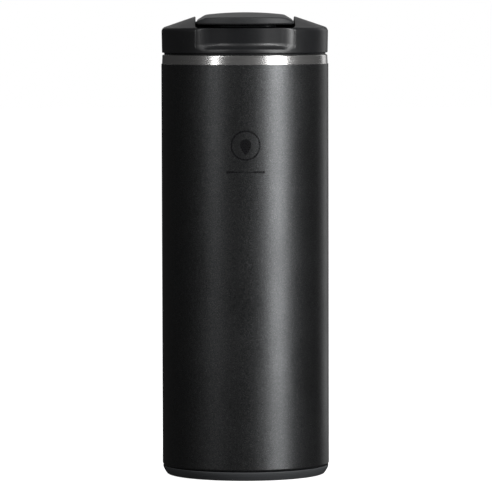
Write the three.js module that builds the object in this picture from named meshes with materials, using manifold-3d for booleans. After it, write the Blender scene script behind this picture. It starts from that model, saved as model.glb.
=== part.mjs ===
// An insulated travel mug: a vacuum-insulated steel bottle with a screw lid and a flip lever.
// Millimetres, +Z up. The origin is the centre of the face that the mug stands on, and the front,
// with the thumb notch and the lever's tab, faces -Y.

import * as THREE from "three";
import { mergeVertices } from "three/addons/utils/BufferGeometryUtils.js";
import Module from "manifold-3d";

const wasm = await Module();
wasm.setup();

// ---------------------------------------------------------------- driving dimensions
const ROUND = 48; // facets in every turned piece
const FIT = 0.1; // gap between pieces that are fixed together

// bottle
const BODY_R = 36.5; // coated outside
const STEEL = 0.3; // wall of the shell and of the liner
const COAT_TOP_Z = 179.6; // bare steel shows above this
const BAND_R = 36.2; // bare band, where the coat ends
const LIP_R = 36.05; // bare band, at the mouth
const MOUTH_Z = 183.6;
const NECK_R = 31.0; // inside of the threaded neck
const NECK_BOTTOM_Z = 165.3;
const CAVITY_R = 32.8; // inside of the liner
const CAVITY_Z = 10.0; // inside floor of the liner
const CAVITY_FILLET = 9.0;
const SHOULDER_Z = 4.0; // underside of the shell's rolled bottom edge
const TUCK_R = 34.6; // the shell's narrow end, inside the foot
const TUCK_Z = 2.7;
const PLATE_Z = 4.9; // underside of the welded bottom

// foot
const FOOT_R = 36.3;
const FOOT_FLAT_R = 33.7; // outer edge of the face it stands on
const FOOT_HOLLOW_R = 26.0; // the hollow in the middle of that face
const FOOT_HOLLOW_Z = 1.5;

// thread between lid and neck: two starts, right-handed
const LEAD = 10.0;
const STARTS = 2;
const RIDGE_ROOT = 1.8; // axial width of a ridge at its root
const RIDGE_CREST = 0.9;
const PLUG_R = 28.9; // root of the lid's thread
const LID_RIDGE_R = 30.5; // crest of the lid's thread
const NECK_RIDGE_R = 29.9; // crest of the neck's thread
const LID_RIDGE_Z = 170.8; // where the lid's ridges start
const LID_RIDGE_TURNS = 0.5;
const NECK_RIDGE_TURNS = 0.625;

// lid
const LID_Z = 184.4; // bottom of the skirt
const SKIRT_R = 36.2;
const RIM_R = 36.4;
const RIM_Z = 195.2; // where skirt and cone would meet with no fillet
const CONE_SLOPE = 0.3424; // rise of the cone for each mm inwards
const RIM_FILLET = 0.9;
const HOLLOW_R = 34.4; // inside of the skirt
const FLOOR_Z = 195.4; // floor of the channel that the lever lies in
const FLOOR_UNDER_Z = 193.0;
const CHANNEL_HALF = 21.5;
const FLANGE_Z = 185.3; // underside of the plug's flange
const PLUG_WALL = 2.6;
const PLUG_BOTTOM_Z = 163.0;
const COVER_T = 1.4; // the disc that closes the plug
const GASKET_R = 35.3; // fills the gap between skirt and mouth
const WING_WALL = 1.8;

// thumb notch in the front of the skirt
const NOTCH_WALL_R = 33.9;
const NOTCH_HALF_IN = 16.6;
const NOTCH_HALF_OUT = 21.2;
const NOTCH_BOTTOM_IN = 188.0;
const NOTCH_BOTTOM_OUT = 185.6;
const NOTCH_CORNER = 3.0;

// drinking hole and vent
const SIP = { y: -21.0, width: 22.0, depth: 9.0 };
const VENT = { y: -11.6, r: 1.5 };
const TUBE_WALL = 1.2;

// lever
const PIVOT = { y: 10.0, z: 196.9 };
const LEVER_HALF = 21.2;
const LEVER_FRONT_R = 36.2; // its front edge follows the skirt
const LEVER_BOTTOM_Z = 196.8;
const LEVER_CREST_Z = 202.0;
const LEVER_BEVEL = { width: 4.0, drop: 2.0 }; // along both sides of its top
const BARREL_R = 2.9;
const BARREL_END_R = 1.7;
const COVER_WALL = 1.2; // of the lever's outer cover
const BODY_UNDER_Z = 197.7; // underside of the lever's frame
const PIN_R = 1.0;
const PIN_INNER_X = 15.0;
const PIN_OUTER_X = 23.6;

// ---------------------------------------------------------------- helpers
const toX = new THREE.Matrix4().makeBasis( // a drawing of (y, z), pushed out along +X
  new THREE.Vector3(0, 1, 0), new THREE.Vector3(0, 0, 1), new THREE.Vector3(1, 0, 0));
const toY = new THREE.Matrix4().makeBasis( // a drawing of (x, z), pushed out along -Y
  new THREE.Vector3(1, 0, 0), new THREE.Vector3(0, 0, 1), new THREE.Vector3(0, -1, 0));

// Points of an arc, angles in degrees.
function arc(x, y, r, from, to, steps) {
  return Array.from({ length: steps + 1 }, (_, i) => {
    const a = THREE.MathUtils.degToRad(from + ((to - from) * i) / steps);
    return [x + r * Math.cos(a), y + r * Math.sin(a)];
  });
}

// A closed profile of [radius, height] points, anticlockwise, turned round the Z axis.
function turned(profile, segments = ROUND) {
  const onAxis = profile[0][0] === 0 && profile.at(-1)[0] === 0;
  const points = (onAxis ? profile : [...profile, profile[0]]).map(([r, z]) => new THREE.Vector2(r, z));
  return new THREE.LatheGeometry(points, segments).rotateX(Math.PI / 2);
}

function ring(inner, outer, low, high, segments = ROUND) {
  return turned([[inner, low], [outer, low], [outer, high], [inner, high]], segments);
}

function disc(r, low, high, segments = ROUND) {
  return turned([[0, low], [r, low], [r, high], [0, high]], segments);
}

function outline(points) {
  return new THREE.Shape(points.map(([x, y]) => new THREE.Vector2(x, y)));
}

function extruded(shape, low, high) {
  return new THREE.ExtrudeGeometry(shape, { depth: high - low, bevelEnabled: false, curveSegments: 8 })
    .translate(0, 0, low);
}

function box(x0, x1, y0, y1, z0, z1) {
  return new THREE.BoxGeometry(x1 - x0, y1 - y0, z1 - z0)
    .translate((x0 + x1) / 2, (y0 + y1) / 2, (z0 + z1) / 2);
}

// A slot with round ends, long along X, centred on x = 0.
function oblong(y, width, depth) {
  const r = depth / 2;
  const half = width / 2 - r;
  const shape = new THREE.Shape();
  shape.absarc(half, y, r, -Math.PI / 2, Math.PI / 2, false);
  shape.absarc(-half, y, r, Math.PI / 2, (3 * Math.PI) / 2, false);
  return shape;
}

function alongX(r, x0, x1, segments = 24) {
  return disc(r, x0, x1, segments).rotateY(Math.PI / 2).translate(0, PIVOT.y, PIVOT.z);
}

// A geometry as a solid that can be joined and cut.
function solid(geometry) {
  const bare = geometry.clone();
  bare.deleteAttribute("normal");
  bare.deleteAttribute("uv");
  const merged = mergeVertices(bare, 1e-4);
  return new wasm.Manifold(new wasm.Mesh({
    numProp: 3,
    vertProperties: merged.attributes.position.array,
    triVerts: new Uint32Array(merged.index.array),
  }));
}

const join = (first, ...rest) => rest.reduce((sum, g) => sum.add(solid(g)), solid(first));

function geometryOf(manifold) {
  const mesh = manifold.simplify(0.003).getMesh();
  return new THREE.BufferGeometry()
    .setAttribute("position", new THREE.BufferAttribute(mesh.vertProperties, 3))
    .setIndex(new THREE.BufferAttribute(mesh.triVerts, 1));
}

// A ridge of trapezoid section wound up a helix: a straight bar, bent round the axis.
function ridge(rootR, crestR, startZ, startTurn, turns) {
  const inward = crestR < rootR ? -1 : 1;
  const root = rootR - inward * 0.15; // sinks a little into the wall, so that the join is sound
  const section = outline([
    [root, -RIDGE_ROOT / 2], [crestR, -RIDGE_CREST / 2], [crestR, RIDGE_CREST / 2], [root, RIDGE_ROOT / 2],
  ]);
  const steps = Math.round(turns * ROUND);
  const bar = new THREE.ExtrudeGeometry(section, { depth: 1, steps, bevelEnabled: false });
  const at = bar.attributes.position;
  for (let i = 0; i < at.count; i++) {
    const turn = startTurn + at.getZ(i) * turns;
    const a = 2 * Math.PI * turn;
    at.setXYZ(i, at.getX(i) * Math.cos(a), at.getX(i) * Math.sin(a),
      startZ + at.getY(i) + at.getZ(i) * turns * LEAD);
  }
  return turnedOut(bar); // the bend mirrors the bar, so its faces point inwards
}

// The same faces with their sides swapped.
function turnedOut(geometry) {
  const merged = mergeVertices(geometry);
  const index = merged.index.array;
  for (let i = 0; i < index.length; i += 3) {
    [index[i + 1], index[i + 2]] = [index[i + 2], index[i + 1]];
  }
  return merged;
}

const startTurns = Array.from({ length: STARTS }, (_, i) => i / STARTS);

// ---------------------------------------------------------------- materials
const finish = (color, roughness, metalness) =>
  new THREE.MeshStandardMaterial({ color, roughness, metalness });
const coatedSteel = finish(0x1b1d1f, 0.55, 0.2);
const bareSteel = finish(0xb9b7b5, 0.3, 1.0);
const blackSteel = finish(0x1d1d1f, 0.5, 0.9);
const foil = finish(0xb87a55, 0.3, 1.0);
const getterMetal = finish(0x6d6f72, 0.6, 0.8);
const glassFrit = finish(0x5a6a55, 0.2, 0.0);
const adhesive = finish(0x8f8f88, 0.8, 0.0);
const footRubber = finish(0x2c2f31, 0.75, 0.0);
const lidPlastic = finish(0x191b1d, 0.5, 0.0);
const leverPlastic = finish(0x202224, 0.6, 0.0);
const innerPlastic = finish(0x26282a, 0.55, 0.0);
const silicone = finish(0x3b3e40, 0.7, 0.0);

// ---------------------------------------------------------------- bottle
function outerShell() {
  const inner = (r) => r - STEEL;
  const outside = [
    [TUCK_R, TUCK_Z], [TUCK_R, SHOULDER_Z],
    ...arc(BODY_R - 1.2, SHOULDER_Z + 1.2, 1.2, -90, 0, 3),
    [BODY_R, COAT_TOP_Z], [BAND_R, COAT_TOP_Z], [LIP_R, MOUTH_Z - 0.5],
    ...arc(LIP_R - 0.5, MOUTH_Z - 0.5, 0.5, 0, 90, 3).slice(1),
    [NECK_R, MOUTH_Z],
  ];
  const inside = [
    [NECK_R, MOUTH_Z - STEEL], [inner(LIP_R) - 0.3, MOUTH_Z - STEEL],
    [inner(LIP_R), MOUTH_Z - 0.6], [inner(BAND_R), COAT_TOP_Z], [inner(BAND_R), SHOULDER_Z + 1.2],
    [TUCK_R + 0.4, SHOULDER_Z + STEEL], [inner(TUCK_R), SHOULDER_Z + STEEL], [inner(TUCK_R), TUCK_Z],
  ];
  return turned([...outside, ...inside]);
}

function innerLiner() {
  const centre = CAVITY_R - CAVITY_FILLET;
  const bend = CAVITY_Z + CAVITY_FILLET;
  const top = MOUTH_Z - STEEL - FIT;
  const wall = turned([
    [0, CAVITY_Z - STEEL],
    ...arc(centre, bend, CAVITY_FILLET + STEEL, -90, 0, 6),
    [CAVITY_R + STEEL, NECK_BOTTOM_Z - 3], [NECK_R + STEEL, NECK_BOTTOM_Z], [NECK_R + STEEL, top],
    [NECK_R, top], [NECK_R, NECK_BOTTOM_Z], [CAVITY_R, NECK_BOTTOM_Z - 3],
    ...arc(centre, bend, CAVITY_FILLET, 0, -90, 6),
    [0, CAVITY_Z],
  ]);
  // the neck's ridges lie half a pitch above the lid's, so that the two mesh with room on both sides
  const startZ = LID_RIDGE_Z + LEAD / STARTS / 2;
  const ridges = startTurns.map((turn) => ridge(NECK_R, NECK_RIDGE_R, startZ, turn, NECK_RIDGE_TURNS));
  return geometryOf(join(wall, ...ridges));
}

function bottomCup() {
  const r = TUCK_R - STEEL - FIT;
  const dimple = { r: 8, bottomR: 6, drop: 0.7, holeR: 0.6 };
  return turned([
    [dimple.holeR, PLATE_Z - dimple.drop], [dimple.bottomR, PLATE_Z - dimple.drop], [dimple.r, PLATE_Z],
    [r - 0.4, PLATE_Z], [r - 0.4, TUCK_Z], [r, TUCK_Z], [r, PLATE_Z + 0.4],
    [dimple.r - 0.2, PLATE_Z + 0.4], [dimple.bottomR - 0.2, PLATE_Z + 0.4 - dimple.drop],
    [dimple.holeR, PLATE_Z + 0.4 - dimple.drop],
  ]);
}

function baseFoot() {
  const inside = TUCK_R + 0.15;
  const top = SHOULDER_Z - 0.15;
  const deck = PLATE_Z - 0.4; // carries the adhesive
  return turned([
    [0, FOOT_HOLLOW_Z], [FOOT_HOLLOW_R - 1, FOOT_HOLLOW_Z], [FOOT_HOLLOW_R, 0],
    [FOOT_FLAT_R, 0],
    ...arc(FOOT_FLAT_R, 1.5, 1.5, -90, -25, 4).slice(1),
    [FOOT_R - 0.6, 1.9], [FOOT_R - 0.2, 2.8], [FOOT_R, 3.5], [FOOT_R - 0.1, top], [inside, top],
    [inside, TUCK_Z - 0.5], [TUCK_R - 1.4, TUCK_Z - 0.5], [TUCK_R - 1.4, deck],
    [10, deck], [9, deck - 0.7], [0, deck - 0.7],
  ]);
}

// ---------------------------------------------------------------- lid
const coneZ = (r) => RIM_Z + (RIM_R - r) * CONE_SLOPE;

// The notch's cutter: a box bent round the lid's axis, wider and deeper at its outer face.
function notchCutter() {
  const outerR = RIM_R + 1;
  const top = 210;
  const g = new THREE.BoxGeometry(2, 1, 1, 16, 1, 10).translate(0, 0.5, 0.5);
  const at = g.attributes.position;
  const outerDepth = (RIM_R - NOTCH_WALL_R) / (outerR - NOTCH_WALL_R); // where the skirt's surface is
  for (let i = 0; i < at.count; i++) {
    const [side, depth, up] = [at.getX(i), 1 - at.getY(i), at.getZ(i)];
    const grow = depth / outerDepth;
    const half = NOTCH_HALF_IN + (NOTCH_HALF_OUT - NOTCH_HALF_IN) * grow;
    const bottom = NOTCH_BOTTOM_IN + (NOTCH_BOTTOM_OUT - NOTCH_BOTTOM_IN) * grow;
    // the lower half of the rows is spent on the rounded corner
    const rise = up < 0.5 ? NOTCH_CORNER * (1 - Math.cos(up * Math.PI)) : 0;
    const high = bottom + NOTCH_CORNER;
    const z = up < 0.5 ? bottom + rise : high + (top - high) * (up * 2 - 1);
    const cut = up < 0.5 ? NOTCH_CORNER - Math.sqrt(NOTCH_CORNER ** 2 - (NOTCH_CORNER - rise) ** 2) : 0;
    const r = NOTCH_WALL_R + (outerR - NOTCH_WALL_R) * depth;
    const a = side * Math.asin((half - cut) / r);
    at.setXYZ(i, r * Math.sin(a), -r * Math.cos(a), z);
  }
  return g;
}

// The channel through the lid's top: a flat floor with round corners in front of the hinge, a well
// under the lever's barrel, and behind it a low deck for the open lever.
function channelCutters() {
  const wellR = BARREL_R + 0.35;
  const high = 210;
  const corner = new THREE.QuadraticBezierCurve(
    new THREE.Vector2(CHANNEL_HALF, FLOOR_Z + 1.3),
    new THREE.Vector2(CHANNEL_HALF, FLOOR_Z),
    new THREE.Vector2(CHANNEL_HALF - 2.1, FLOOR_Z)).getPoints(4);
  const section = outline([
    [CHANNEL_HALF, high], ...corner.map((p) => [p.x, p.y]),
    ...corner.reverse().map((p) => [-p.x, p.y]), [-CHANNEL_HALF, high],
  ]);
  const front = extruded(section, -PIVOT.y, 45).applyMatrix4(toY);
  const deckZ = PIVOT.z - 1;
  const deck = outline([
    [PIVOT.y - 1, deckZ], [PIVOT.y + wellR, deckZ], [45, RIM_Z - 0.4], [45, high], [PIVOT.y - 1, high],
  ]);
  const rear = extruded(deck, -CHANNEL_HALF, CHANNEL_HALF).applyMatrix4(toX);
  return [front, rear, alongX(wellR, -CHANNEL_HALF, CHANNEL_HALF, 36)];
}

function lidCap() {
  const rim = new THREE.QuadraticBezierCurve(
    new THREE.Vector2(RIM_R, RIM_Z - RIM_FILLET),
    new THREE.Vector2(RIM_R, RIM_Z),
    new THREE.Vector2(RIM_R - RIM_FILLET, coneZ(RIM_R - RIM_FILLET))).getPoints(4);
  const form = solid(turned([
    [0, LID_Z], [SKIRT_R - 0.4, LID_Z], [SKIRT_R, LID_Z + 0.5],
    ...rim.map((p) => [p.x, p.y]), [18, coneZ(18)], [0, coneZ(18)],
  ]));
  const hollow = solid(disc(HOLLOW_R, LID_Z - 1, FLOOR_UNDER_Z))
    .subtract(solid(ring(NOTCH_WALL_R - 1.6, HOLLOW_R + 1, FLANGE_Z + 1.7, FLOOR_UNDER_Z + 1))
      .intersect(solid(box(-23, 23, -40, -20, LID_Z, 200))))
    .subtract(solid(ring(30, 31.5, FLANGE_Z + 1.7, FLOOR_UNDER_Z + 1)));
  // each side of the cone is cored out, except round the hinge pin
  const core = solid(turned([
    [0, FLOOR_UNDER_Z - 1], [HOLLOW_R, FLOOR_UNDER_Z - 1], [HOLLOW_R, coneZ(HOLLOW_R) - WING_WALL],
    [18, coneZ(18) - WING_WALL], [0, coneZ(18) - WING_WALL],
  ]))
    .subtract(solid(box(-CHANNEL_HALF - WING_WALL, CHANNEL_HALF + WING_WALL, -40, 40, 190, 210)))
    .subtract(solid(box(-26, 26, PIVOT.y - 3.5, PIVOT.y + 3.5, 190, 210)));
  const openings = join(
    extruded(oblong(SIP.y, SIP.width, SIP.depth), FLOOR_UNDER_Z - 1, FLOOR_Z + 1),
    disc(VENT.r, FLOOR_UNDER_Z - 1, FLOOR_Z + 1, 16).translate(0, VENT.y, 0),
    alongX(PIN_R + 0.05, -PIN_OUTER_X - 0.3, PIN_OUTER_X + 0.3, 16));
  const cuts = [hollow, core, openings, solid(notchCutter()), ...channelCutters().map(solid)];
  return geometryOf(cuts.reduce((left, cut) => left.subtract(cut), form));
}

function lidPlug() {
  const inner = PLUG_R - PLUG_WALL;
  const wall = turned([
    [inner, PLUG_BOTTOM_Z], [PLUG_R, PLUG_BOTTOM_Z], [PLUG_R, FLANGE_Z], [HOLLOW_R - FIT, FLANGE_Z],
    [HOLLOW_R - FIT, FLANGE_Z + 1.6], [inner, FLANGE_Z + 1.6],
  ]);
  const tubeTop = FLOOR_UNDER_Z - FIT;
  const tubes = join(
    extruded(oblong(SIP.y, SIP.width + 2 * TUBE_WALL, SIP.depth + 2 * TUBE_WALL), PLUG_BOTTOM_Z, tubeTop),
    disc(VENT.r + TUBE_WALL, PLUG_BOTTOM_Z, tubeTop, 16).translate(0, VENT.y, 0),
    box(-0.8, 0.8, SIP.y + SIP.depth / 2 + 0.6, VENT.y - VENT.r - 0.6, PLUG_BOTTOM_Z, tubeTop));
  const bores = join(
    extruded(oblong(SIP.y, SIP.width, SIP.depth), PLUG_BOTTOM_Z - 1, tubeTop + 1),
    disc(VENT.r, PLUG_BOTTOM_Z - 1, tubeTop + 1, 16).translate(0, VENT.y, 0));
  const ridges = startTurns.map((turn) => ridge(PLUG_R, LID_RIDGE_R, LID_RIDGE_Z, turn, LID_RIDGE_TURNS));
  return geometryOf(join(wall, ...ridges).add(tubes).subtract(bores));
}

function plugCover() {
  const top = PLUG_BOTTOM_Z - FIT;
  const plate = disc(PLUG_R - 0.2, top - COVER_T, top);
  return geometryOf(solid(plate).subtract(join(
    extruded(oblong(SIP.y, SIP.width, SIP.depth), top - COVER_T - 1, top + 1),
    disc(VENT.r, top - COVER_T - 1, top + 1, 16).translate(0, VENT.y, 0))));
}

function lidGasket() {
  const low = MOUTH_Z + FIT;
  return turned([
    [PLUG_R + 0.2, low - 2], [NECK_R - 0.6, low - 2], [NECK_R - 0.25, low - 1.4], [NECK_R - 0.25, low],
    [GASKET_R, low], [GASKET_R, LID_Z - 0.15], [HOLLOW_R - 0.2, LID_Z - 0.15],
    [HOLLOW_R - 0.2, FLANGE_Z - FIT], [PLUG_R + 0.2, FLANGE_Z - FIT],
  ]);
}

// ---------------------------------------------------------------- lever
// Height of the lever's top along its length, over x = 0.
const crestLine = new THREE.SplineCurve([
  [-37, 2.15], [-28, 1.15], [-18, 0.35], [-7, 0], [3, 0.5], [12, LEVER_CREST_Z - PIVOT.z - BARREL_R + 0.4],
].map(([y, drop]) => new THREE.Vector2(y, LEVER_CREST_Z - drop)));
const crestPoints = crestLine.getPoints(60);

function crestZ(y) {
  const i = Math.max(1, crestPoints.findIndex((p) => p.x >= y));
  const [a, b] = [crestPoints[i - 1], crestPoints[i]];
  return a.y + ((b.y - a.y) * (y - a.x)) / (b.x - a.x);
}

// How far the top falls away to each side: a slight crown, then a bevel with a round edge. The drop
// is less where the lever is low.
function sideDrop(x, y) {
  const bevel = Math.max(0, Math.abs(x) - LEVER_HALF + LEVER_BEVEL.width) / LEVER_BEVEL.width;
  const edge = Math.max(0, bevel * 5 - 4);
  const share = (crestZ(y) - LEVER_BOTTOM_Z) / (LEVER_CREST_Z - LEVER_BOTTOM_Z);
  return share * (x * x / 300 + LEVER_BEVEL.drop * bevel + 0.7 * edge * edge);
}

// The lever's form above a level, taken in by inset on every other side: a box bent to shape, cut by
// an outline whose lower corners are bevelled by tuck.
function leverForm(inset, bottom, tuck = 0) {
  const g = new THREE.BoxGeometry(2, 1, 1, 16, 9, 1).translate(0, 0.5, 0.5);
  const at = g.attributes.position;
  const half = LEVER_HALF - inset;
  for (let i = 0; i < at.count; i++) {
    const s = Math.abs(at.getX(i));
    // steps are finer at the shoulders
    const x = Math.sign(at.getX(i)) * half * Math.sin((s * Math.PI) / 2);
    const front = -Math.sqrt((LEVER_FRONT_R - inset) ** 2 - x * x);
    const y = front + (PIVOT.y - front) * at.getY(i);
    const top = crestZ(y) - sideDrop((x * LEVER_HALF) / half, y) - inset;
    at.setXYZ(i, x, y, at.getZ(i) > 0.5 ? top : bottom - 10);
  }
  const side = [[half - tuck, bottom], [half + 1, bottom + tuck + 1], [half + 1, bottom + 20]];
  const section = outline([...side, ...side.map(([x, z]) => [-x, z]).reverse()]);
  return solid(g).intersect(solid(extruded(section, -30, 50).applyMatrix4(toY)));
}

function barrel() {
  const half = LEVER_HALF - 0.2;
  const ends = 5;
  const profile = [[0, -half]];
  for (let i = -ends; i <= ends; i++) {
    const x = half * Math.sin((i / ends) * (Math.PI / 2));
    const taper = THREE.MathUtils.clamp(Math.abs(x) - LEVER_HALF + LEVER_BEVEL.width, 0, 3) / 3;
    profile.push([BARREL_R - taper * (BARREL_R - BARREL_END_R), x]);
  }
  profile.push([0, half]);
  return turned(profile, 36).rotateY(Math.PI / 2).translate(0, PIVOT.y, PIVOT.z);
}

function leverCover() {
  return geometryOf(leverForm(0, LEVER_BOTTOM_Z, 0.8)
    .subtract(leverForm(COVER_WALL, LEVER_BOTTOM_Z - 5))
    .subtract(solid(alongX(BARREL_R + FIT, -30, 30, 36))));
}

function leverBody() {
  const holeStart = PIN_INNER_X - 0.5;
  const pinHoles = [[-30, -holeStart], [holeStart, 30]]
    .map(([x0, x1]) => solid(alongX(PIN_R + 0.15, x0, x1)));
  const frame = leverForm(COVER_WALL + FIT, BODY_UNDER_Z).add(solid(barrel()));
  return geometryOf(pinHoles.reduce((left, hole) => left.subtract(hole), frame));
}

function hingePin(side) {
  const [a, b] = [side * PIN_INNER_X, side * PIN_OUTER_X];
  return alongX(PIN_R, Math.min(a, b), Math.max(a, b), 16);
}

const stopper = { // levels of the silicone stopper and the carrier inside it
  plugBottom: FLOOR_Z - 2.7,
  flangeBottom: FLOOR_Z + 0.15,
  flangeTop: FLOOR_Z + 1.2,
  pegBottom: FLOOR_Z - 1.3,
};

function sipStopper() {
  const flange = extruded(oblong(SIP.y, 27, 12), stopper.flangeBottom, stopper.flangeTop);
  const plugShape = oblong(SIP.y, SIP.width - 0.8, SIP.depth - 0.8);
  const plug = extruded(plugShape, stopper.plugBottom, stopper.flangeTop);
  const pocket = extruded(oblong(SIP.y, 15, 3.6), stopper.pegBottom - 0.2, stopper.flangeTop + 1);
  return geometryOf(join(flange, plug).subtract(solid(pocket)));
}

function stopperCarrier() {
  return geometryOf(join(
    extruded(oblong(SIP.y, 24, 10), stopper.flangeTop + FIT, BODY_UNDER_Z - FIT),
    extruded(oblong(SIP.y, 14.6, 3.2), stopper.pegBottom, stopper.flangeTop + 0.5)));
}

function ventStopper() {
  return turned([
    [0, FLOOR_Z - 1.5], [0.8, FLOOR_Z - 1.5], [VENT.r - 0.35, FLOOR_Z - 0.9],
    [VENT.r - 0.35, FLOOR_Z + 0.15], [2.2, FLOOR_Z + 0.15], [2.2, BODY_UNDER_Z - FIT],
    [0, BODY_UNDER_Z - FIT],
  ], 24).translate(0, VENT.y, 0);
}

// ---------------------------------------------------------------- the mug
const mug = new THREE.Group();

function add(name, geometry, material) {
  const mesh = new THREE.Mesh(geometry, material);
  mesh.name = name;
  mug.add(mesh);
}

const foilR = CAVITY_R + STEEL + 0.15;
const getterTop = CAVITY_Z - STEEL - FIT;

add("outer_shell", outerShell(), coatedSteel);
add("inner_liner", innerLiner(), bareSteel);
add("radiation_foil", ring(foilR, foilR + 0.15, 20, 160), foil);
add("getter_pill", disc(4, getterTop - 2.2, getterTop, 24), getterMetal);
add("getter_strap", geometryOf(join(
  box(-7, 7, -1.5, 1.5, getterTop - 2.5, getterTop - 2.3),
  box(-7, -4.6, -1.5, 1.5, getterTop - 2.5, getterTop),
  box(4.6, 7, -1.5, 1.5, getterTop - 2.5, getterTop))), bareSteel);
add("bottom_cup", bottomCup(), bareSteel);
add("seal_pellet", disc(1.8, PLATE_Z - 0.25, PLATE_Z + 0.7, 24), glassFrit);
add("foot_adhesive_ring", ring(12, 32, PLATE_Z - 0.35, PLATE_Z - 0.05), adhesive);
add("base_foot", baseFoot(), footRubber);
add("lid_gasket", lidGasket(), silicone);
add("lid_cap", lidCap(), lidPlastic);
add("lid_plug", lidPlug(), innerPlastic);
add("plug_cover", plugCover(), innerPlastic);
add("hinge_pin_left", hingePin(-1), blackSteel);
add("hinge_pin_right", hingePin(1), blackSteel);
add("lever_cover", leverCover(), leverPlastic);
add("lever_body", leverBody(), innerPlastic);
add("stopper_carrier", stopperCarrier(), innerPlastic);
add("sip_stopper", sipStopper(), silicone);
add("vent_stopper", ventStopper(), silicone);

export default mug;
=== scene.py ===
"""The looks of an insulated travel mug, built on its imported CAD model.

Lengths in the named dimensions are millimetres, in the model's own frame: +Z up, the mug standing
on z = 0, and its front, with the thumb notch and the lever's tab, facing -Y.
"""

import itertools
import math

import bpy
import numpy as np
from mathutils import Matrix, Vector


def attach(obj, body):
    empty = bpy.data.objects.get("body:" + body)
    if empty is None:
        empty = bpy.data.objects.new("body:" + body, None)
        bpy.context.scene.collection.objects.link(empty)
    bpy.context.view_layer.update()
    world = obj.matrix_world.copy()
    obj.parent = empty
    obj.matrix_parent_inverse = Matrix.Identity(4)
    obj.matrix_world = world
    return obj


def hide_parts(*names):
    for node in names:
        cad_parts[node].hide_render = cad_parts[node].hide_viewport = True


MM = 0.001

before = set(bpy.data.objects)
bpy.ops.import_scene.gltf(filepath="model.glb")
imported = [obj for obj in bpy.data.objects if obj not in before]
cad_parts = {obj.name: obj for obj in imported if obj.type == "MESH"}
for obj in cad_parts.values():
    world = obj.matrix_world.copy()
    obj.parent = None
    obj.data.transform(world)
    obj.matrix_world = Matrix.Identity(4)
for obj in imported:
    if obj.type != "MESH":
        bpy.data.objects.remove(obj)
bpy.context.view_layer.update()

# ---------------------------------------------------------------- dimensions
BODY_R = 36.5
STEEL = 0.3
COAT_TOP_Z = 179.6
BAND_R = 36.2
LIP_R = 36.05
MOUTH_Z = 183.6
NECK_R = 31.0
NECK_BOTTOM_Z = 165.3
CAVITY_R = 32.8
CAVITY_Z = 10.0
CAVITY_FILLET = 9.0
SHOULDER_Z = 4.0
TUCK_R = 34.6
TUCK_Z = 2.7

FOOT_R = 36.3
FOOT_FLAT_R = 34.5
FOOT_HOLLOW_R = 26.0
FOOT_HOLLOW_Z = 1.5
DECK_Z = 4.5  # carries the adhesive

LEAD = 10.0
STARTS = 2
RIDGE_Z = 170.8
PLUG_R = 28.9
LID_RIDGE_R = 30.5
NECK_RIDGE_R = 29.9

LID_Z = 184.4
SKIRT_R = 36.2
RIM_R = 36.4
RIM_Z = 195.2
CONE_SLOPE = 0.3424
HOLLOW_R = 34.4
FLOOR_Z = 195.4
FLOOR_UNDER_Z = 193.0
CHANNEL_HALF = 21.5
FLANGE_Z = 185.3
PLUG_WALL = 2.6
PLUG_BOTTOM_Z = 163.0
COVER_T = 1.4
GASKET_R = 35.3

NOTCH_WALL_R = 33.9
NOTCH_HALF = 21.3
NOTCH_SIDE = (17.3, -30.2, 8.8)  # x and y where its sides face the front, and how they curve back
NOTCH_Z = 188.0
NOTCH_DROP = 0.84  # how far its sill falls for each mm outwards

SIP_Y = -21.0
SIP_SIZE = (22.0, 9.0)
VENT_Y = -11.6
VENT_R = 1.5

PIVOT_Y = 10.0
PIVOT_Z = 196.9
BARREL_R = 2.9
LEVER_HALF = 21.2
LEVER_FRONT_R = 36.2
LEVER_BOTTOM_Z = 196.8
FRAME_UNDER_Z = 197.7
LEVER_WALL = 1.2
LEVER_CREST_Z = 202.0
LEVER_BEVEL = (4.0, 2.0)  # width and drop, along both sides of its top
LEVER_FALL = np.polyfit([-37, -28, -18, -7, 3, 12], [2.15, 1.15, 0.35, 0, 0.5, 2.6], 4)  # below the crest


# ---------------------------------------------------------------- meshes
def piece(name, vertices, faces, materials, body, nodes=(), normals=None, face_slots=None):
    """A smooth mesh object from points in millimetres, riding on a body and standing for CAD nodes."""
    mesh = bpy.data.meshes.new(name)
    mesh.from_pydata((np.asarray(vertices) * MM).tolist(), [], [[int(v) for v in face] for face in faces])
    mesh.update()
    for material in materials:
        mesh.materials.append(material)
    if face_slots is not None:
        mesh.polygons.foreach_set("material_index", np.asarray(face_slots, np.int32))
    mesh.shade_smooth()
    if normals is not None:
        mesh.normals_split_custom_set_from_vertices(np.asarray(normals).tolist())
    obj = bpy.data.objects.new(name, mesh)
    bpy.context.scene.collection.objects.link(obj)
    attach(obj, body)
    if nodes:
        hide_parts(*nodes)
    return obj


def outline(corners):
    """Points and outward normals of a closed anticlockwise outline of [radius, height, fillet] corners."""
    at = np.array([c[:2] for c in corners], float)
    points, normals = [], []
    for i, (corner, fillet) in enumerate(zip(at, [c[2] for c in corners])):
        before, after = at[i - 1], at[(i + 1) % len(at)]
        d0 = (corner - before) / np.linalg.norm(corner - before)
        d1 = (after - corner) / np.linalg.norm(after - corner)
        n0, n1 = np.array([d0[1], -d0[0]]), np.array([d1[1], -d1[0]])
        if corner[0] == 0:
            flat = n1 if before[0] == 0 else n0
            points.append(corner)
            normals.append(flat)
            continue
        turn = math.atan2(d0[0] * d1[1] - d0[1] * d1[0], d0 @ d1)
        side = 1 if turn > 0 else -1
        centre = corner - side * fillet * (n0 + n1) / (1 + n0 @ n1)
        steps = max(1, math.ceil(abs(turn) / math.radians(12)))
        for k in range(steps + 1):
            a = turn * k / steps
            cos, sin = math.cos(a), math.sin(a)
            n = np.array([n0[0] * cos - n0[1] * sin, n0[0] * sin + n0[1] * cos])
            points.append(centre + side * fillet * n)
            normals.append(n)
    return np.array(points), np.array(normals)


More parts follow.
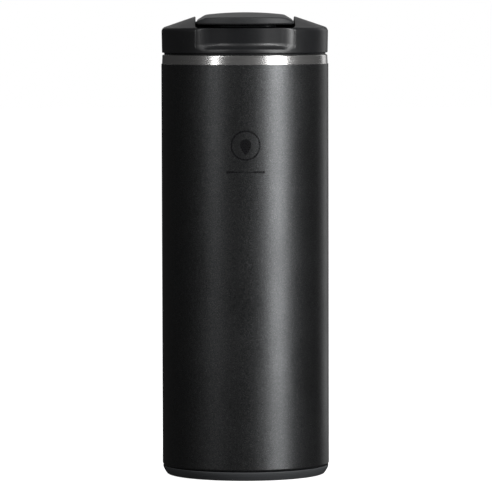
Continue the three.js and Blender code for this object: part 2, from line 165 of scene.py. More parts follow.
def turned(corners, segments=192, swell=None, longest=None):
    """Vertices, faces and normals of an outline turned round the Z axis.
    swell(angle, height, radius) gives each vertex's radius. longest is the greatest step between points."""
    points, normals = outline(corners)
    if longest:
        fine, fine_normals = [], []
        for i in range(len(points)):
            j = (i + 1) % len(points)
            if points[i][0] == 0 and points[j][0] == 0:
                count = 1
            else:
                count = max(1, math.ceil(np.linalg.norm(points[j] - points[i]) / longest))
            for k in range(count):
                fine.append(points[i] + (points[j] - points[i]) * k / count)
                fine_normals.append(normals[i])
        points, normals = np.array(fine), np.array(fine_normals)
    angle = 2 * math.pi * np.arange(segments) / segments
    r, z = np.broadcast_to(points[:, 0], (segments, len(points))), points[:, 1]
    z = np.broadcast_to(z, r.shape)
    a = np.broadcast_to(angle[:, None], r.shape)
    if swell:
        r = swell(a, z, r)
    vertices = np.stack([r * np.cos(a), r * np.sin(a), z], -1).reshape(-1, 3)
    out = np.stack([normals[:, 0] * np.cos(a), normals[:, 0] * np.sin(a),
                    np.broadcast_to(normals[:, 1], a.shape)], -1).reshape(-1, 3)
    number = np.arange(segments * len(points)).reshape(segments, -1)
    axis = np.flatnonzero(points[:, 0] == 0)
    number[:, axis] = number[0, axis]  # one vertex for each point on the axis
    faces = []
    for i in range(len(points)):
        j = (i + 1) % len(points)
        if i in axis and j in axis:
            continue
        a0, b0 = number[:, i], number[:, j]
        a1, b1 = np.roll(a0, -1), np.roll(b0, -1)
        for quad in zip(a0, a1, b1, b0):
            face = list(dict.fromkeys(quad))
            faces.append([int(v) for v in face])
    used = np.unique(np.concatenate(faces))
    renumber = np.zeros(len(vertices), int)
    renumber[used] = np.arange(len(used))
    faces = [[int(renumber[v]) for v in face] for face in faces]
    return vertices[used], faces, (None if swell else out[used])


def turned_piece(name, corners, materials, body, nodes=(), slot=None, slots=None, at=(0, 0), **how):
    """A turned piece. slots(height, radius) picks each face's material."""
    vertices, faces, normals = turned(corners, **how)
    vertices = vertices + np.array([*at, 0])
    face_slots = None
    if slots:
        middle = np.array([vertices[f].mean(0) for f in faces])
        face_slots = [slots(z, math.hypot(x, y)) for x, y, z in middle]
    return piece(name, vertices, faces, materials, body, nodes, normals, face_slots)


def skin(distance, low, high, step):
    """Vertices, quads and normals of the surface where a distance function of x, y and z is zero."""
    axes = [np.arange(a - step, b + 1.5 * step, step) for a, b in zip(low, high)]
    value = distance(*np.meshgrid(*axes, indexing="ij"))
    inside = value < 0
    shape = [n - 1 for n in value.shape]
    offsets = list(itertools.product((0, 1), repeat=3))
    corner = [tuple(slice(o, o + n) for o, n in zip(offset, shape)) for offset in offsets]
    count = sum(inside[c].astype(np.int8) for c in corner)
    cell = (count > 0) & (count < 8)
    number = np.full(shape, -1)
    number[cell] = np.arange(cell.sum())
    base = np.argwhere(cell)
    at = {offset: value[c][cell] for offset, c in zip(offsets, corner)}
    total, hits = np.zeros((len(base), 3)), np.zeros(len(base))
    for p, q in itertools.combinations(offsets, 2):
        if sum(abs(i - j) for i, j in zip(p, q)) != 1:
            continue
        crossed = (at[p] < 0) != (at[q] < 0)
        share = np.where(crossed, at[p] / np.where(crossed, at[p] - at[q], 1), 0)[:, None]
        total += np.where(crossed[:, None], np.array(p) + share * (np.array(q) - np.array(p)), 0)
        hits += crossed
    vertices = np.array([a[0] for a in axes]) + (base + total / hits[:, None]) * step
    small = 0.02 * step
    for _ in range(4):
        sides = np.eye(3) * small
        normals = np.stack([distance(*(vertices + d).T) - distance(*(vertices - d).T) for d in sides], 1)
        normals /= 2 * small
        length = np.maximum((normals ** 2).sum(1), 0.2)[:, None]
        move = -distance(*vertices.T)[:, None] * normals / length
        vertices = vertices + np.clip(move, -0.4 * step, 0.4 * step)
    normals /= np.maximum(np.linalg.norm(normals, axis=1), 1e-6)[:, None]
    quads = []
    for axis in range(3):
        b, c = (axis + 1) % 3, (axis + 2) % 3
        ends = [slice(None)] * 3
        ends[axis] = slice(0, -1)
        others = [slice(None)] * 3
        others[axis] = slice(1, None)
        leaving = inside[tuple(ends)] & ~inside[tuple(others)]
        entering = ~inside[tuple(ends)] & inside[tuple(others)]
        for crossing, order in ((leaving, 1), (entering, -1)):
            spot = np.argwhere(crossing)
            spot = spot[(spot[:, b] > 0) & (spot[:, c] > 0)]
            ring = []
            for db, dc in ((-1, -1), (0, -1), (0, 0), (-1, 0))[::order]:
                near = spot.copy()
                near[:, b] += db
                near[:, c] += dc
                ring.append(number[tuple(near.T)])
            quads.append(np.stack(ring, 1))
    return vertices, np.concatenate(quads), normals


def skin_piece(name, distance, low, high, step, materials, body, nodes=()):
    vertices, faces, normals = skin(distance, low, high, step)
    return piece(name, vertices, faces, materials, body, nodes, normals)


# ---------------------------------------------------------------- distance functions
def both(a, b, r):
    """Where both distances are negative, with the edge rounded to radius r."""
    return np.minimum(-r, np.maximum(a, b)) + np.hypot(np.maximum(a + r, 0), np.maximum(b + r, 0))


def either(a, b, r):
    """Where either distance is negative, with a fillet of radius r."""
    return -both(-a, -b, r)


def without(solid, hole, r):
    return both(solid, -hole, r)


def oblong(x, y, width, depth):
    return np.hypot(np.maximum(np.abs(x) - (width - depth) / 2, 0), y) - depth / 2


def slab(z, low, high):
    return np.maximum(low - z, z - high)


def drink_and_vent(x, y):
    return np.minimum(oblong(x, y - SIP_Y, *SIP_SIZE), np.hypot(x, y - VENT_Y) - VENT_R)


def lid_cap(x, y, z):
    r = np.hypot(x, y)
    skirt = r - (SKIRT_R + (RIM_R - SKIRT_R) * (z - LID_Z) / (RIM_Z - LID_Z))
    cone = (z - RIM_Z - (RIM_R - r) * CONE_SLOPE) / math.hypot(1, CONE_SLOPE)
    form = both(both(skirt, cone, 1.5), LID_Z - z, 0.35)
    side = np.abs(x) - CHANNEL_HALF
    front = np.maximum(both(side, FLOOR_Z - z, 1.5), y - PIVOT_Y - 1)
    well = np.maximum(np.hypot(y - PIVOT_Y, z - PIVOT_Z) - BARREL_R - 0.35, side)
    deck = PIVOT_Z - 1 - (y - PIVOT_Y - 3.2) * 0.0377
    rear = np.maximum(both(side, deck - z, 1.2), PIVOT_Y - 1 - y)
    channel = either(either(front, well, 0.4), rear, 0.4)
    out = r - NOTCH_WALL_R
    side_x, side_y, side_r = NOTCH_SIDE
    flank = np.maximum(side_r - np.hypot(np.maximum(np.abs(x) - side_x, 0), y - side_y - side_r),
                       np.abs(x) - NOTCH_HALF)
    sill = (NOTCH_Z - NOTCH_DROP * out - z) / math.hypot(1, NOTCH_DROP)
    notch = np.maximum(both(both(flank, sill, 1.8), -out, 0.8), both(flank, -out, 2.5))
    solid = without(without(form, notch, 0.55), channel, 0.45)
    hollow = np.maximum(r - HOLLOW_R, z - FLOOR_UNDER_Z)
    backing = np.maximum(NOTCH_WALL_R - 1.6 - r, np.abs(x) - 23)
    backing = np.maximum(backing, np.maximum(FLANGE_Z + 1.7 - z, y))
    return without(without(solid, drink_and_vent(x, y), 0.4), without(hollow, backing, 0.3), 0.3)


def eased(share):
    return share * share * (3 - 2 * share)


def thread(x, y, z, start, length, root, crest, z0):
    """Rise of a thread's ridges above the root, as a share of their height, at a point near the wall."""
    turn = np.arctan2(y, x) / (2 * math.pi)
    rise = np.zeros_like(z)
    for first in np.arange(STARTS) / STARTS + start:
        for lap in (-1, 0, 1):
            along = turn - first + lap
            off = np.abs(z - z0 - along * LEAD)
            end = np.clip(np.minimum(along, length - along) / 0.04, 0, 1)
            flank = np.clip((root / 2 - off) / (root - crest) * 2, 0, 1)
            rise = np.maximum(rise, eased(flank) * eased(end))
    return rise


def lid_plug(x, y, z):
    r = np.hypot(x, y)
    ridge = (LID_RIDGE_R - PLUG_R) * thread(x, y, z, 0, 0.5, 2.0, 0.8, RIDGE_Z)
    wall = both(r - PLUG_R - ridge, slab(z, PLUG_BOTTOM_Z, FLANGE_Z + 1.6), 0.3)
    flange = both(r - HOLLOW_R + 0.1, slab(z, FLANGE_Z, FLANGE_Z + 1.6), 0.4)
    bowl = np.maximum(r - PLUG_R + PLUG_WALL, PLUG_BOTTOM_Z - 1 - z)
    shell = without(either(wall, flange, 0.5), bowl, 0.4)
    tube = oblong(x, y - SIP_Y, SIP_SIZE[0] + 2.4, SIP_SIZE[1] + 2.4)
    vent = np.hypot(x, y - VENT_Y) - VENT_R - 1.2
    rib = np.maximum(np.abs(x) - 0.8, np.maximum(SIP_Y + 5 - y, y - VENT_Y + 2))
    inner = np.maximum(either(either(tube, vent, 0.5), rib, 0.3), slab(z, PLUG_BOTTOM_Z, FLOOR_UNDER_Z - 0.1))
    return without(either(shell, inner, 0.5), drink_and_vent(x, y), 0.2)


def plug_cover(x, y, z):
    top = PLUG_BOTTOM_Z - 0.1
    plate = both(np.hypot(x, y) - PLUG_R + 0.2, slab(z, top - COVER_T, top), 0.45)
    groove = np.hypot(np.hypot(x, y) - PLUG_R + 3.4, z - top + COVER_T) - 0.45
    return without(without(plate, drink_and_vent(x, y), 0.45), groove, 0.15)


def lever_form(x, y, z, inset=0.0):
    width, drop = LEVER_BEVEL
    crest = LEVER_CREST_Z - np.polyval(LEVER_FALL, y)
    share = np.clip((crest - LEVER_BOTTOM_Z) / (LEVER_CREST_Z - LEVER_BOTTOM_Z), 0.3, 1)
    past = np.abs(x) - LEVER_HALF + width
    smooth = np.hypot(past, 0.5)
    fall = share * (x * x / 300 + drop / width * (past + smooth) / 2)
    slope = share * (np.abs(x) / 150 + drop / width * (1 + past / smooth) / 2)
    over = (z - crest + fall) / np.sqrt(1 + slope ** 2 + np.polyval(np.polyder(LEVER_FALL), y) ** 2)
    side = np.abs(x) - LEVER_HALF
    front = np.hypot(x, y) - LEVER_FRONT_R
    below = LEVER_BOTTOM_Z - z
    edges = np.maximum(both(over, side, 1.0), both(side, below, 1.3))
    return both(both(edges, front, 0.8), below, 0.25) + inset, over + inset, side + inset, front + inset


def lever_cover(x, y, z):
    outer = np.maximum(lever_form(x, y, z)[0], y - PIVOT_Y)
    _, over, side, front = lever_form(x, y, z, LEVER_WALL)
    inner = both(both(over, side, 0.6), front, 0.5)
    barrel = np.hypot(y - PIVOT_Y, z - PIVOT_Z) - BARREL_R - 0.1
    return without(without(outer, inner, 0.2), barrel, 0.15)


def lever_frame(x, y, z):
    _, over, side, front = lever_form(x, y, z, LEVER_WALL + 0.12)
    plate = both(both(both(over, side, 0.6), front, 0.5), FRAME_UNDER_Z - z, 0.25)
    plate = np.maximum(plate, y - PIVOT_Y)
    taper = np.clip(0.4 * (np.abs(x) - LEVER_HALF + LEVER_BEVEL[0]), 0, 1.2)
    barrel = both(np.hypot(y - PIVOT_Y, z - PIVOT_Z) - BARREL_R + taper, np.abs(x) - LEVER_HALF + 0.2, 0.5)
    return either(plate, barrel, 0.6)


def sip_stopper(x, y, z):
    flange = both(oblong(x, y - SIP_Y, 27, 12), slab(z, FLOOR_Z + 0.15, FLOOR_Z + 1.2), 0.5)
    taper = 0.12 * (FLOOR_Z - z)
    end = oblong(x, y - SIP_Y, SIP_SIZE[0] - 0.8, SIP_SIZE[1] - 0.8) + taper
    plug = both(end, slab(z, FLOOR_Z - 2.7, FLOOR_Z + 0.9), 0.8)
    return either(flange, plug, 0.5)


def stopper_carrier(x, y, z):
    return both(oblong(x, y - SIP_Y, 24, 10), slab(z, FLOOR_Z + 1.3, FRAME_UNDER_Z - 0.1), 0.25)


# ---------------------------------------------------------------- materials
class Nodes:
    """A material's node tree, with short calls for the nodes used here."""

    def __init__(self, name, **sockets):
        self.material = bpy.data.materials.new(name)
        self.material.use_nodes = True
        self.tree = self.material.node_tree
        self.shader = self.tree.nodes["Principled BSDF"]
        for socket, value in sockets.items():
            self.shader.inputs[socket.replace("_", " ")].default_value = value
        self.place = self.node("ShaderNodeTexCoord").outputs["Object"]

    def node(self, kind, **settings):
        made = self.tree.nodes.new(kind)
        for key, value in settings.items():
            setattr(made, key, value)
        return made

    def link(self, source, target):
        self.tree.links.new(source, target)

    def put(self, socket, source):
        self.link(source, self.shader.inputs[socket])

    def stretched(self, x, y, z):
        made = self.node("ShaderNodeVectorMath", operation="MULTIPLY")
        self.link(self.place, made.inputs[0])
        made.inputs[1].default_value = (x, y, z)
        return made.outputs[0]

    def noise(self, size, detail=2.0, rough=0.5, place=None):
        """Noise with features of about that size in millimetres."""
        made = self.node("ShaderNodeTexNoise")
        made.inputs["Scale"].default_value = 1 / (size * MM)
        made.inputs["Detail"].default_value = detail
        made.inputs["Roughness"].default_value = rough
        self.link(place or self.place, made.inputs["Vector"])
        return made.outputs["Fac"]

    def ramp(self, factor, *stops):
        made = self.node("ShaderNodeValToRGB")
        ramp = made.color_ramp
        while len(ramp.elements) < len(stops):
            ramp.elements.new(0.5)
        for element, (position, color) in zip(ramp.elements, stops):
            element.position = position
            element.color = (*color, 1) if isinstance(color, tuple) else (color, color, color, 1)
        self.link(factor, made.inputs["Fac"])
        return made.outputs["Color"]

    def spread(self, factor, low, high, start=0.0, end=1.0):
        made = self.node("ShaderNodeMapRange")
        for socket, value in (("From Min", start), ("From Max", end), ("To Min", low), ("To Max", high)):
            made.inputs[socket].default_value = value
        self.link(factor, made.inputs["Value"])
        return made.outputs["Result"]

    def math(self, operation, a, b):
        made = self.node("ShaderNodeMath", operation=operation)
        for socket, value in zip(made.inputs, (a, b)):
            if isinstance(value, (int, float)):
                socket.default_value = value
            else:
                self.link(value, socket)
        return made.outputs[0]

    def mix(self, factor, a, b):
        made = self.node("ShaderNodeMix", data_type="RGBA")
        sockets = [s for s in made.inputs if s.enabled]
        for socket, value in zip(sockets, (factor, a, b)):
            if isinstance(value, tuple):
                socket.default_value = (*value, 1)
            elif isinstance(value, (int, float)):
                socket.default_value = value
            else:
                self.link(value, socket)
        return [s for s in made.outputs if s.enabled][0]

    def bump(self, height, depth, strength=1.0):
        """Bump of that depth in millimetres."""
        made = self.node("ShaderNodeBump")
        made.inputs["Distance"].default_value = depth * MM
        made.inputs["Strength"].default_value = strength
        self.link(height, made.inputs["Height"])
        self.put("Normal", made.outputs["Normal"])

    def edges(self, low, high):
        """0 on flat surfaces, rising to 1 on outer edges."""
        return self.spread(self.node("ShaderNodeNewGeometry").outputs["Pointiness"], 0, 1, low, high)


def powder_coat():
    n = Nodes("powder_coat", Metallic=0.92)
    grain = n.noise(0.30, 3, 0.65)
    mottle = n.noise(1.1, 2)
    broad = n.noise(30, 2)
    speck = n.ramp(grain, (0.38, (0.060, 0.062, 0.064)), (0.54, (0.105, 0.108, 0.111)),
                   (0.68, (0.23, 0.235, 0.24)))
    tone = n.mix(n.spread(mottle, 0, 0.35, 0.3, 0.75), speck, (0.13, 0.132, 0.135))
    n.put("Base Color", tone)
    wear = n.spread(broad, -0.03, 0.03, 0.3, 0.7)
    n.put("Roughness", n.math("ADD", n.spread(grain, 0.30, 0.44, 0.3, 0.7), wear))
    n.bump(n.math("ADD", grain, n.math("MULTIPLY", mottle, 0.6)), 0.035, 0.9)
    return n.material


def brushed_steel(name, tint=(0.81, 0.80, 0.79), rough=0.2):
    n = Nodes(name, Metallic=0.9, Anisotropic=0.5)
    streaks = n.noise(1.0, 5, 0.7, n.stretched(0.03, 0.03, 14.0))
    patches = n.noise(9.0, 2)
    dark = tuple(0.86 * c for c in tint)
    n.put("Base Color", n.mix(streaks, dark, tint))
    n.put("Roughness", n.math("ADD", n.spread(streaks, rough - 0.06, rough + 0.08, 0.3, 0.7),
                              n.spread(patches, -0.03, 0.03)))
    tangent = n.node("ShaderNodeTangent", direction_type="RADIAL", axis="Z")
    n.link(tangent.outputs["Tangent"], n.shader.inputs["Tangent"])
    n.bump(streaks, 0.002)
    return n.material


def moulded(name, base, light, grain=0.35, depth=0.012, rough=0.42, spread=0.08, specular=0.5):
    """Moulded plastic or rubber: a fine texture, rubbed a little lighter and smoother on its edges."""
    n = Nodes(name, Specular_IOR_Level=specular)
    fine = n.noise(grain, 3, 0.6)
    cloud = n.noise(14.0, 3)
    edge = n.math("MULTIPLY", n.edges(0.52, 0.62), n.spread(n.noise(2.5, 3), 0.2, 1.0, 0.35, 0.65))
    tone = n.mix(n.spread(fine, 0, 0.5, 0.35, 0.7), base, light)
    tone = n.mix(n.spread(cloud, 0, 0.2, 0.35, 0.65), tone, light)
    n.put("Base Color", n.mix(n.math("MULTIPLY", edge, 0.45), tone, tuple(min(1, 2.2 * c) for c in light)))
    worn = n.math("SUBTRACT", n.spread(fine, rough - spread / 2, rough + spread / 2, 0.3, 0.7),
                  n.math("MULTIPLY", edge, 0.08))
    n.put("Roughness", n.math("ADD", worn, n.spread(cloud, -0.03, 0.03, 0.3, 0.7)))
    n.bump(fine, depth, 0.8)
    return n.material


def lid_plastic():
    """The lid's plastic: its outside is satin, and the recessed surfaces are duller."""
    n = Nodes("lid_black")
    fine = n.noise(0.45, 3, 0.6)
    cloud = n.noise(14.0, 3)
    flat = n.node("ShaderNodeVectorMath", operation="LENGTH")
    n.link(n.stretched(1, 1, 0), flat.inputs[0])
    height = n.node("ShaderNodeSeparateXYZ")
    n.link(n.place, height.inputs[0])
    outer = n.spread(flat.outputs["Value"], 0, 1, 34.5 * MM, 35.4 * MM)
    sill = n.math("MULTIPLY", n.spread(flat.outputs["Value"], 1, 0, 35.5 * MM, 36.0 * MM),
                  n.spread(height.outputs["Z"], 1, 0, (NOTCH_Z + 0.4) * MM, (NOTCH_Z + 1.2) * MM))
    edge = n.math("MULTIPLY", n.edges(0.52, 0.62), n.spread(n.noise(2.5, 3), 0.2, 1.0, 0.35, 0.65))
    tone = n.mix(n.spread(fine, 0, 0.5, 0.35, 0.7), (0.016, 0.0165, 0.018), (0.026, 0.0265, 0.029))
    tone = n.mix(n.spread(cloud, 0, 0.2, 0.35, 0.65), tone, (0.026, 0.0265, 0.029))
    n.put("Base Color", n.mix(n.math("MULTIPLY", edge, 0.4), tone, (0.055, 0.056, 0.060)))
    n.put("Specular IOR Level", n.math("MAXIMUM", n.spread(outer, 0.27, 0.82), n.spread(sill, 0, 1.3)))
    rough = n.math("ADD", n.spread(fine, 0.37, 0.45, 0.3, 0.7), n.spread(cloud, -0.03, 0.03, 0.3, 0.7))
    n.put("Roughness", n.math("SUBTRACT", rough, n.math("MULTIPLY", outer, 0.02)))
    n.bump(fine, 0.010, 0.8)
    return n.material


def print_ink():
    n = Nodes("print_ink", Specular_IOR_Level=0.6)
    grain = n.noise(0.5, 3)
    n.put("Base Color", n.mix(grain, (0.006, 0.006, 0.007), (0.014, 0.014, 0.016)))
    n.put("Roughness", n.spread(grain, 0.24, 0.34, 0.3, 0.7))
    n.bump(grain, 0.012, 0.6)
    return n.material


def plain_parts(name, base, light, metallic, rough, size=0.4):
    n = Nodes(name, Metallic=metallic)
    grain = n.noise(size, 4, 0.65)
    n.put("Base Color", n.mix(grain, base, light))
    n.put("Roughness", n.spread(grain, rough - 0.1, rough + 0.1, 0.3, 0.7))
    n.bump(grain, 0.02, 0.7)
    return n.material


coat = powder_coat()
band_steel = brushed_steel("band_steel")
liner_steel = brushed_steel("liner_steel", (0.62, 0.61, 0.60), 0.3)
lid_black = lid_plastic()
lever_black = moulded("lever_black", (0.034, 0.035, 0.037), (0.085, 0.087, 0.090), 0.35, 0.030, 0.46)
inner_black = moulded("inner_black", (0.024, 0.025, 0.027), (0.034, 0.035, 0.037), 0.5, 0.008, 0.42)
foot_grey = moulded("foot_grey", (0.080, 0.084, 0.089), (0.120, 0.125, 0.131), 0.4, 0.018, 0.60,
                    specular=0.35)
seal_grey = moulded("seal_grey", (0.022, 0.024, 0.026), (0.032, 0.034, 0.036), 0.8, 0.004, 0.40)
ink = print_ink()
foil_copper = plain_parts("foil_copper", (0.60, 0.30, 0.19), (0.78, 0.44, 0.30), 1.0, 0.25, 6.0)
pill_grey = plain_parts("pill_grey", (0.20, 0.20, 0.21), (0.42, 0.42, 0.43), 0.8, 0.6, 0.2)
black_oxide = plain_parts("black_oxide", (0.022, 0.022, 0.024), (0.042, 0.042, 0.045), 0.9, 0.5, 0.3)
frit_green = plain_parts("frit_green", (0.05, 0.07, 0.045), (0.11, 0.14, 0.09), 0.0, 0.2, 0.7)
glue_grey = plain_parts("glue_grey", (0.36, 0.36, 0.33), (0.52, 0.52, 0.48), 0.0, 0.8, 0.6)

# ---------------------------------------------------------------- bottle
turned_piece("bottle_shell", [
    (TUCK_R, TUCK_Z, 0.05), (TUCK_R, SHOULDER_Z, 0.25), (BODY_R, SHOULDER_Z, 1.1),
    (BODY_R, COAT_TOP_Z, 0.12), (BAND_R, COAT_TOP_Z, 0.04), (LIP_R, MOUTH_Z, 0.4),
    (NECK_R, MOUTH_Z, 0.14), (NECK_R, MOUTH_Z - STEEL, 0.05), (LIP_R - STEEL, MOUTH_Z - STEEL, 0.5),
    (BAND_R - STEEL, COAT_TOP_Z - 0.3, 0.5), (BAND_R - STEEL, SHOULDER_Z + STEEL, 0.8),
    (TUCK_R - STEEL, SHOULDER_Z + STEEL, 0.05), (TUCK_R - STEEL, TUCK_Z, 0.05),
], [coat, band_steel], "bottle", ["outer_shell"], "coated_steel", segments=256,
    slots=lambda z, r: 0 if r > BAND_R + 0.001 and z <= COAT_TOP_Z + 0.001 or z < SHOULDER_Z + 2 else 1)


def rolled_thread(angle, z, r):
    start_z = RIDGE_Z + LEAD / STARTS / 2
    rise = thread(np.cos(angle), np.sin(angle), z, 0, 0.625, 2.2, 0.6, start_z)
    return np.where(z > NECK_BOTTOM_Z, r - (NECK_R - NECK_RIDGE_R) * rise, r)


liner_top = MOUTH_Z - STEEL - 0.1
turned_piece("liner", [
    (0, CAVITY_Z - STEEL, 0), (CAVITY_R + STEEL, CAVITY_Z - STEEL, CAVITY_FILLET + STEEL),
    (CAVITY_R + STEEL, NECK_BOTTOM_Z - 3, 1.5), (NECK_R + STEEL, NECK_BOTTOM_Z, 1.5),
    (NECK_R + STEEL, liner_top, 0.05), (NECK_R, liner_top, 0.05), (NECK_R, NECK_BOTTOM_Z, 1.5),
    (CAVITY_R, NECK_BOTTOM_Z - 3, 1.5), (CAVITY_R, CAVITY_Z, CAVITY_FILLET), (0, CAVITY_Z, 0),
], [liner_steel], "bottle", ["inner_liner"], "bare_steel", swell=rolled_thread, longest=0.5)

foot_top = SHOULDER_Z - 0.15
turned_piece("foot", [
    (0, FOOT_HOLLOW_Z, 0), (9, FOOT_HOLLOW_Z, 0.3), (9.5, FOOT_HOLLOW_Z - 0.4, 0.2),
    (10.5, FOOT_HOLLOW_Z - 0.4, 0.2), (11, FOOT_HOLLOW_Z, 0.3),
    (FOOT_HOLLOW_R - 1, FOOT_HOLLOW_Z, 0.5), (FOOT_HOLLOW_R, 0, 0.5),
    (29.4, 0, 0.1), (29.7, 0.35, 0.15), (30.3, 0.35, 0.15), (30.6, 0, 0.1),
    (FOOT_FLAT_R, 0, 1.2), (FOOT_R - 0.6, 1.9, 1.5), (FOOT_R - 0.2, 2.8, 0.5), (FOOT_R, 3.5, 0.2),
    (FOOT_R - 0.12, foot_top, 0.1), (TUCK_R + 0.15, foot_top, 0.1), (TUCK_R + 0.15, TUCK_Z - 0.5, 0.1),
    (TUCK_R - 1.4, TUCK_Z - 0.5, 0.1), (TUCK_R - 1.4, DECK_Z, 0.1), (10, DECK_Z, 0.1),
    (9, DECK_Z - 0.7, 0.1), (0, DECK_Z - 0.7, 0),
], [foot_grey], "bottle", ["base_foot"], "foot_rubber")


def drop_outline(height, steps=48):
    """A drop of that height, pointed at its lower end, anticlockwise about its widest point."""
    turn = 2 * math.pi * (np.arange(steps) + 0.5) / steps
    across = height * 0.34 * np.sin(turn) * np.cos(turn / 2 - math.pi / 2) ** 0.9
    return np.stack([-across, -height * 0.38 * np.cos(turn) - height * 0.08], 1)[::-1]


def oblong_outline(width, depth, steps=48):
    turn = 2 * math.pi * (np.arange(steps) + 0.5) / steps
    straight = (width - depth) / 2
    along = depth / 2 * np.cos(turn) + straight * np.sign(np.cos(turn))
    return np.stack([along, depth / 2 * np.sin(turn)], 1)


def printed(shapes, centre_z, thickness=0.03):
    """Points, faces and normals of flat shapes (boundary, height above the centre, share of it that is
    hollow) laid on the front of the body and raised above its coat."""
    vertices, faces, normals = [], [], []
    for boundary, up, hollow in shapes:
        shares = np.linspace(max(hollow, 0.02), 1, 4 if hollow else 14)
        rings = [(shares[0], -0.03), *((share, thickness) for share in shares), (1, -0.03)]
        count = len(boundary)
        for k, (share, lift) in enumerate(rings):
            r = BODY_R + lift
            a = boundary[:, 0] * share / BODY_R - math.pi / 2
            z = boundary[:, 1] * share + centre_z + up
            start = len(vertices) - count
            vertices.extend(np.stack([r * np.cos(a), r * np.sin(a), z], 1))
            normals.extend(np.stack([np.cos(a), np.sin(a), np.zeros(count)], 1))
            if k:
                for i in range(count):
                    j = (i + 1) % count
                    faces.append((start + i, start + count + i, start + count + j, start + j))
    return np.array(vertices), faces, np.array(normals)


vertices, faces, normals = printed(
    [(oblong_outline(13, 13), 7, 0.90), (drop_outline(9), 7, 0), (oblong_outline(17, 1.1), -4.5, 0)], 138)
piece("printed_mark", vertices, faces, [ink], "bottle", normals=normals)

# ---------------------------------------------------------------- lid
low = MOUTH_Z + 0.1
turned_piece("gasket", [
    (PLUG_R + 0.2, low - 2, 0.3), (NECK_R - 0.6, low - 2, 0.4), (NECK_R - 0.25, low - 1.3, 0.3),
    (NECK_R - 0.25, low, 0.1), (GASKET_R, low, 0.25), (GASKET_R, LID_Z - 0.15, 0.2),
    (HOLLOW_R - 0.2, LID_Z - 0.15, 0.1),
    (HOLLOW_R - 0.2, FLANGE_Z - 0.1, 0.2), (PLUG_R + 0.2, FLANGE_Z - 0.1, 0.1),
], [seal_grey], "lid_carrier", ["lid_gasket"], "silicone")

skin_piece("lid_cap_skin", lid_cap, (-37, -37, 184), (37, 37, 201), 0.32,
           [lid_black], "lid", ["lid_cap"])
skin_piece("lid_plug_skin", lid_plug, (-35, -35, 162.8), (35, 35, 193.4), 0.4,
           [inner_black], "lid", ["lid_plug"])
skin_piece("plug_cover_skin", plug_cover, (-29, -29, 161.3), (29, 29, 163.1), 0.3,
           [inner_black], "lid", ["plug_cover"])

# ---------------------------------------------------------------- lever
skin_piece("lever_cover_skin", lever_cover, (-22, -37, 196.5), (22, 11, 202.3), 0.26,
           [lever_black], "lever", ["lever_cover"])
skin_piece("lever_frame_skin", lever_frame, (-22, -36, 193.5), (22, 14, 202.3), 0.3,
           [inner_black], "lever", ["lever_body"])
skin_piece("sip_stopper_skin", sip_stopper, (-14, -28, 192.5), (14, -14, 197), 0.2,
           [seal_grey], "lever", ["sip_stopper"])
skin_piece("carrier_skin", stopper_carrier, (-13, -27, 196.5), (13, -15, 198), 0.2,
           [inner_black], "lever", ["stopper_carrier"])
turned_piece("vent_stopper_skin", [
    (0, FLOOR_Z - 1.5, 0), (0.95, FLOOR_Z - 1.5, 0.3), (VENT_R - 0.35, FLOOR_Z - 0.9, 0.2),
    (VENT_R - 0.35, FLOOR_Z + 0.15, 0.1), (2.2, FLOOR_Z + 0.15, 0.3), (2.2, FRAME_UNDER_Z - 0.1, 0.1),
    (0, FRAME_UNDER_Z - 0.1, 0),
], [seal_grey], "lever", ["vent_stopper"], "silicone", at=(0, VENT_Y), segments=48)

# ---------------------------------------------------------------- CAD nodes that stay
for node, material in (
    ("radiation_foil", foil_copper), ("getter_pill", pill_grey), ("getter_strap", liner_steel),
    ("bottom_cup", liner_steel), ("seal_pellet", frit_green), ("foot_adhesive_ring", glue_grey),
    ("hinge_pin_left", black_oxide), ("hinge_pin_right", black_oxide),
):
    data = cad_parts[node].data
    data.materials.clear()
    data.materials.append(material)

# ---------------------------------------------------------------- studio
CAMERA_DISTANCE = 1.950
CAMERA_HEIGHT = 0.212
CAMERA_AIM = (0.0003, 0, 0.0997)
CAMERA_AZIMUTH = math.radians(-0.4)
ROLL = math.radians(-0.15)
LENS = 326.2
LIGHT_AIM = Vector((0, 0, 0.12))

camera = bpy.data.objects.new("camera", bpy.data.cameras.new("camera"))
bpy.context.scene.collection.objects.link(camera)
camera.data.lens = LENS
camera.data.sensor_width = 36
turn = Matrix.Rotation(CAMERA_AZIMUTH, 3, "Z")
camera.location = turn @ Vector((0, -CAMERA_DISTANCE, CAMERA_HEIGHT))
look = turn @ Vector(CAMERA_AIM) - camera.location
camera.rotation_mode = "QUATERNION"
camera.rotation_quaternion = look.to_track_quat("-Z", "Y") @ Matrix.Rotation(ROLL, 3, "Z").to_quaternion()
bpy.context.scene.camera = camera


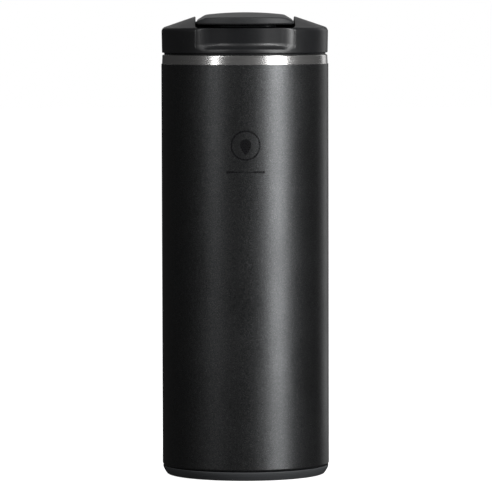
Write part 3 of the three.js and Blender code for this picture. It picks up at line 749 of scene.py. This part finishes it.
def softbox(name, azimuth, distance, height, width, tall, power):
    """An area light facing the mug. Azimuth 0 is in front of it, and 90 to its right."""
    data = bpy.data.lights.new(name, "AREA")
    data.shape = "RECTANGLE"
    data.size, data.size_y = width, tall
    data.energy = power
    light = bpy.data.objects.new(name, data)
    bpy.context.scene.collection.objects.link(light)
    a = math.radians(azimuth)
    light.location = (distance * math.sin(a), -distance * math.cos(a), height)
    light.rotation_mode = "QUATERNION"
    light.rotation_quaternion = (LIGHT_AIM - light.location).to_track_quat("-Z", "Y")


softbox("key", 44.5, 1.1, 0.50, 0.40, 1.3, 12.3)
softbox("fill", -42, 1.1, 0.69, 0.12, 1.1, 2.9)
softbox("rim", 144, 1.1, 0.25, 0.33, 0.8, 0.70)
softbox("top", 180, 0.9, 0.90, 1.2, 0.7, 1.35)
softbox("back", 180, 1.3, 0.42, 0.6, 0.35, 0.32)

floor_mesh = bpy.data.meshes.new("floor")
floor_mesh.from_pydata([(-6, -6, 0), (6, -6, 0), (6, 6, 0), (-6, 6, 0)], [], [(0, 1, 2, 3)])
floor = bpy.data.objects.new("floor", floor_mesh)
floor.location.z = -0.0002
bpy.context.scene.collection.objects.link(floor)
paper = Nodes("floor_paper", Roughness=0.9)
paper.put("Base Color", paper.mix(paper.noise(3.0, 3), (0.80, 0.80, 0.80), (0.84, 0.84, 0.84)))
paper.shader.inputs["Emission Color"].default_value = (1, 1, 1, 1)
paper.shader.inputs["Emission Strength"].default_value = 1.0
floor_mesh.materials.append(paper.material)
floor.visible_diffuse = False
floor.visible_glossy = False

world = bpy.data.worlds.new("studio")
world.use_nodes = True
bpy.context.scene.world = world
tree = world.node_tree
tree.nodes.clear()
seen, around = tree.nodes.new("ShaderNodeBackground"), tree.nodes.new("ShaderNodeBackground")
seen.inputs["Color"].default_value = (1, 1, 1, 1)
seen.inputs["Strength"].default_value = 1.0
around.inputs["Color"].default_value = (1, 1, 1, 1)
around.inputs["Strength"].default_value = 0.026
rays, either_world = tree.nodes.new("ShaderNodeLightPath"), tree.nodes.new("ShaderNodeMixShader")
output = tree.nodes.new("ShaderNodeOutputWorld")
tree.links.new(rays.outputs["Is Camera Ray"], either_world.inputs[0])
tree.links.new(around.outputs[0], either_world.inputs[1])
tree.links.new(seen.outputs[0], either_world.inputs[2])
tree.links.new(either_world.outputs[0], output.inputs[0])
bpy.context.scene.view_settings.view_transform = "Standard"
